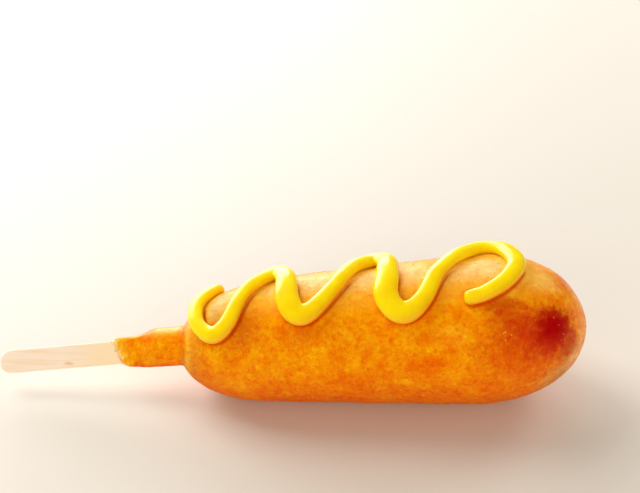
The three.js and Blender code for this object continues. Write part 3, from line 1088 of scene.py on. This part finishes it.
# how far each point faces the light, for the painted shade on the side away from it
upper = add(
    squeezed,
    "ShaderNodeVectorMath",
    {"operation": "DOT_PRODUCT"},
    {0: add(squeezed, "GeometryNodeInputNormal"), 1: TOWARD_LIGHT},
).outputs["Value"]
bead = add(
    squeezed,
    "GeometryNodeStoreNamedAttribute",
    {"domain": "POINT"},
    {"Geometry": bead, "Name": "upper_side", "Value": upper},
)
over = add(
    squeezed,
    "GeometryNodeProximity",
    {"target_element": "FACES"},
    {"Geometry": below, "Sample Position": add(squeezed, "GeometryNodeInputPosition")},
).outputs["Distance"]
bead = add(
    squeezed,
    "GeometryNodeStoreNamedAttribute",
    {"domain": "POINT"},
    {"Geometry": bead, "Name": "over_crust", "Value": over},
)
bead = add(squeezed, "GeometryNodeSetShadeSmooth", {}, {"Geometry": bead})
bead = add(
    squeezed, "GeometryNodeSetMaterial", {}, {"Geometry": bead, "Material": given["Material"]}
)
add(squeezed, "NodeGroupOutput", {}, {"Geometry": bead})

# Yellow mustard: a smooth wet paste of ground seed, vinegar and turmeric. It is glossy, and some
# light passes through its thin edges.
mustard_paste, nodes = bare_material("yellow_mustard_paste")
where = add(nodes, "ShaderNodeTexCoord").outputs["Object"]
PASTE_CLOUDS = 6  # mm across, paler and deeper
cloud = add(
    nodes, "ShaderNodeTexNoise", {}, {"Vector": where, "Scale": 1 / (PASTE_CLOUDS * MM), "Detail": 2}
)
cloud = add(
    nodes, "ShaderNodeMapRange", {}, {"Value": cloud, "From Min": 0.4, "From Max": 0.65}
)
colour = add(
    nodes,
    "ShaderNodeMix",
    {"data_type": "RGBA"},
    {"Factor": cloud, "A": linear("#f8dc04"), "B": linear("#f5d002")},
)
# the crust shows through its thin foot, which is tinted orange, partly for that and partly as
# painted shade, and its lower side, away from the light, is painted deeper orange as painted shade,
# both more on the front than behind. each: an attribute, where the tint starts and is full, how
# much, and the colour
MUSTARD_TINTS_AND_PAINTED_SHADE = (
    # the thin foot: partly the crust showing through, partly painted shade
    ("over_crust", 2.4 * MM, 0.2 * MM, 0.6, "#ee9a1c"),
    # painted shade on the side facing away from the light
    ("upper_side", 0.3, -0.75, 0.65, "#ea9210"),
)
BEHIND_Y, FRONT_Y, BEHIND_SHARE = 6, -3, 0.2  # in mm, and how much of them is left behind
in_front = add(
    nodes,
    "ShaderNodeMapRange",
    SOFT_STEP,
    {
        "Value": add(nodes, "ShaderNodeSeparateXYZ", {}, {"Vector": where}).outputs["Y"],
        "From Min": BEHIND_Y * MM,
        "From Max": FRONT_Y * MM,
        "To Min": BEHIND_SHARE,
    },
)
for name, start, full, most, tint in MUSTARD_TINTS_AND_PAINTED_SHADE:
    stored = add(nodes, "ShaderNodeAttribute", {"attribute_name": name}).outputs["Fac"]
    colour = tinted(nodes, colour, tint, stored, start, full, most, in_front)
surface = add(
    nodes,
    "ShaderNodeBsdfPrincipled",
    {},
    {
        "Base Color": colour,
        "Roughness": 0.35,
        "IOR": 1.45,
        "Specular IOR Level": 0.3,
        "Specular Tint": linear("#fff0b0"),
        "Coat Weight": 0.5,
        "Coat Roughness": 0.13,
        "Coat IOR": 1.5,
        "Subsurface Weight": 0.2,
        "Subsurface Radius": (1.0, 0.7, 0.1),
        "Subsurface Scale": 1.0 * MM,
    },
)
add(nodes, "ShaderNodeOutputMaterial", {}, {"Surface": surface})

points = []
for x, degrees, half_width in ROUTE:
    angle = math.radians(degrees)
    radius = body_radius(x)
    points.append((x, -radius * math.sin(angle), axis_height(x) + radius * math.cos(angle)))
line = line_of("mustard_line", points, half_width=[row[2] for row in ROUTE])
mustard = shaped(
    line,
    "mustard_line_squeezed",
    squeezed,
    {
        "Surface": crust,
        "Rings": 520,
        "Around": 36,
        "Rise": 2.3,
        "Rise Share": 0.5,
        "Belly": 0.44,
        "Sink": 0.3,
        "Voxel": 0.25,
        "Softening": 22,
        "Regain": 0.17,
        "Material": mustard_paste,
    },
)
bpy.data.objects.remove(line)
bpy.data.objects.remove(smooth_batter)

# The tree that marks how far the crust is from the mustard, and where a shadow is painted on it: a
# narrow strip on the side of the bead away from the light, which is as far from it as the given
# shift.
marked, given = shape_tree(
    "painted shadow strip", {"Bead": "object", "Shadow Shift": 0.0, "Reach": 1.0, "Most": 1.0}
)
bead = add(
    marked, "GeometryNodeObjectInfo", {"transform_space": "RELATIVE"}, {"Object": given["Bead"]}
).outputs["Geometry"]
shadow_shift = add(marked, "ShaderNodeMath", {"operation": "MULTIPLY"}, {0: given["Shadow Shift"], 1: MM})
shadow_shift = add(
    marked, "ShaderNodeVectorMath", {"operation": "SCALE"}, {0: TOWARD_LIGHT, "Scale": shadow_shift}
)
source = add(
    marked, "ShaderNodeVectorMath", {}, {0: add(marked, "GeometryNodeInputPosition"), 1: shadow_shift}
)
distance = add(
    marked,
    "GeometryNodeProximity",
    {"target_element": "FACES"},
    {"Geometry": bead, "Sample Position": source},
).outputs["Distance"]
distance = add(marked, "ShaderNodeMath", {"operation": "DIVIDE"}, {0: distance, 1: MM})
shaded = add(
    marked,
    "ShaderNodeMapRange",
    SOFT_STEP,
    {"Value": distance, "From Min": given["Reach"], "From Max": 0.0, "To Max": given["Most"]},
)
body = add(
    marked,
    "GeometryNodeStoreNamedAttribute",
    {"domain": "POINT"},
    {"Geometry": given["Geometry"], "Name": "soaked", "Value": shaded},
)
away = add(
    marked,
    "GeometryNodeProximity",
    {"target_element": "FACES"},
    {"Geometry": bead, "Sample Position": add(marked, "GeometryNodeInputPosition")},
).outputs["Distance"]
body = add(
    marked,
    "GeometryNodeStoreNamedAttribute",
    {"domain": "POINT"},
    {"Geometry": body, "Name": "from_mustard", "Value": away},
)
add(marked, "NodeGroupOutput", {}, {"Geometry": body})
soaked_crust = shaped(
    crust, "soaked_crust", marked, {"Bead": mustard, "Shadow Shift": 0.8, "Reach": 0.7, "Most": 0.85}
)
crust.data = soaked_crust.data
bpy.data.objects.remove(soaked_crust)
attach(mustard, "root")
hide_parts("mustard")

# ---------------------------------------------------------------- the table, lights and camera
# A plain pale table top, a wide window light behind, a soft key light above the back on the
# stick's side, two weak ones on the tip's side, a large warm fill in front, a glint that shows in
# reflections alone, and a camera that looks down on the corn dog square to its side.
table_mesh = bpy.data.meshes.new("table")
REACH = 3.0
table_mesh.from_pydata(
    [(-REACH, -REACH, 0), (REACH, -REACH, 0), (REACH, REACH, 0), (-REACH, REACH, 0)],
    [],
    [(0, 1, 2, 3)],
)
table = bpy.data.objects.new("table", table_mesh)
bpy.context.scene.collection.objects.link(table)
laminate = bpy.data.materials.new("pale_laminate")
laminate.use_nodes = True
laminate.node_tree.nodes["Principled BSDF"].inputs["Base Color"].default_value = linear("#d9d2c6")
laminate.node_tree.nodes["Principled BSDF"].inputs["Roughness"].default_value = 0.6
table_mesh.materials.append(laminate)


def aim(thing, place, target):
    """Puts a light or camera in place, looking at a target, both in mm."""
    thing.location = Vector(place) * MM
    thing.rotation_euler = (Vector(target) - Vector(place)).to_track_quat("-Z", "Y").to_euler()


# each: name, place in mm, width and height in mm, watts, colour, and whether it lights surfaces
# and shows in reflections
LIGHTS = (
    ("back_window", (-350, 700, 240), (900, 440), 7.2, "#ffffff", True, True),
    ("left_key", (-420, 300, 560), (460, 460), 3.8, "#ffffff", True, False),
    ("left_glint", (-380, 520, 420), (260, 260), 0.8, "#ffffff", False, True),
    ("right_kicker", (480, 420, 330), (300, 300), 1.5, "#ffffff", True, False),
    ("right_low", (430, 60, 60), (200, 110), 0.15, "#ffffff", True, False),
    ("front_fill", (60, -800, 380), (1300, 700), 6.6, "#ffeed8", True, False),
)
LIT_PLACE = (10, 0, 20)
for name, place, (width, height), watts, tint, lights_surfaces, reflected in LIGHTS:
    light = bpy.data.lights.new(name, "AREA")
    light.shape = "RECTANGLE"
    light.size, light.size_y = width * MM, height * MM
    light.energy = watts
    light.color = linear(tint)[:3]
    lamp = bpy.data.objects.new(name, light)
    bpy.context.scene.collection.objects.link(lamp)
    lamp.visible_camera = False
    lamp.visible_glossy = reflected
    lamp.visible_diffuse = lights_surfaces
    aim(lamp, place, LIT_PLACE)

world = bpy.data.worlds.new("studio")
bpy.context.scene.world = world
world.use_nodes = True
world.node_tree.nodes["Background"].inputs["Color"].default_value = linear("#ffffff")
world.node_tree.nodes["Background"].inputs["Strength"].default_value = 0.28
world.cycles_visibility.glossy = False
bpy.context.scene.view_settings.view_transform = "Standard"

lens = bpy.data.cameras.new("camera")
lens.lens = 80
lens.sensor_width = 36
lens.clip_start = 0.01
camera = bpy.data.objects.new("camera", lens)
bpy.context.scene.collection.objects.link(camera)
CAMERA_PLACE, CAMERA_TARGET = (8.8, -333.674, 285.535), (8.8, 15.831, 40.809)
aim(camera, CAMERA_PLACE, CAMERA_TARGET)
bpy.context.scene.camera = camera
